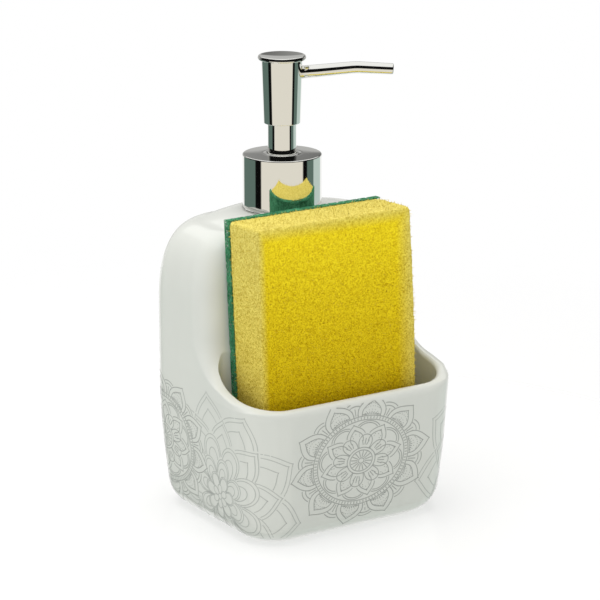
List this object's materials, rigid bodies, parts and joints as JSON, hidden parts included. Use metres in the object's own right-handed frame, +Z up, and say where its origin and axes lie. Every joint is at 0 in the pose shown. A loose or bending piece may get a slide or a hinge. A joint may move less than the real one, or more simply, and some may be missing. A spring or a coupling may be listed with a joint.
{
  "type": "soap dispenser",
  "caption": "Free-standing glazed soap dispenser with a chromed lotion pump and an open front tray that holds a sponge upright.",
  "frame": {"origin": "middle of the foot, on the surface that the dispenser stands on", "axes": "+Z up, +Y towards the back where the soap tower is, so the sponge tray faces -Y, and +X to the right seen from the front"},
  "size_m": [0.1018, 0.0864, 0.1844],
  "materials": {
    "glaze": "gloss",
    "neck_plastic": "satin",
    "washer_rubber": "matte",
    "pump_plastic": "satin",
    "tube_plastic": "satin",
    "seal_plastic": "satin",
    "steel": "polished",
    "chrome": "polished",
    "foam": "matte",
    "pad": "matte"
  },
  "bodies": {
    "bottle": {"ceramic_body": "glaze", "neck_insert": "neck_plastic"},
    "pump_core": {"pump_cylinder": "pump_plastic", "cylinder_cap": "pump_plastic", "dip_tube": "tube_plastic", "sealing_washer": "washer_rubber", "return_spring": "steel"},
    "collar": {"collar_shell": "chrome", "collar_liner": "pump_plastic"},
    "plunger": {"stem": "pump_plastic", "piston_seal": "seal_plastic"},
    "head": {"stem_sleeve": "chrome", "head_insert": "pump_plastic", "head_body": "chrome", "head_cap": "chrome", "spout": "chrome"},
    "inlet_valve": {"inlet_ball": "steel"},
    "outlet_valve": {"outlet_ball": "steel"},
    "sponge": {"sponge_foam": "foam", "scouring_pad": "pad"}
  },
  "joints": [
    {"name": "pump_lift", "type": "slide", "parent": "bottle", "child": "pump_core", "axis": [0, 0, 1], "range_m": [0, 0.135]},
    {"name": "collar_turn", "type": "hinge", "parent": "pump_core", "child": "collar", "pos_m": [0, 0.0154, 0.13], "axis": [0, 0, 1], "range_deg": [0, 540]},
    {"name": "head_press", "type": "slide", "parent": "pump_core", "child": "plunger", "axis": [0, 0, 1], "range_m": [-0.012, 0], "stiffness_N_per_m": 400, "springref_m": 0.012, "deforming": ["return_spring"]},
    {"name": "head_swivel", "type": "hinge", "parent": "plunger", "child": "head", "pos_m": [0, 0.0154, 0.17], "axis": [0, 0, 1], "continuous": true},
    {"name": "inlet_ball_lift", "type": "slide", "parent": "pump_core", "child": "inlet_valve", "axis": [0, 0, 1], "range_m": [0, 0.0015]},
    {"name": "outlet_ball_lift", "type": "slide", "parent": "plunger", "child": "outlet_valve", "axis": [0, 0, 1], "range_m": [0, 0.0012]},
    {"name": "sponge_lift", "type": "slide", "parent": "bottle", "child": "sponge", "axis": [0, 0.0523, 0.9986], "range_m": [0, 0.046]}
  ]
}
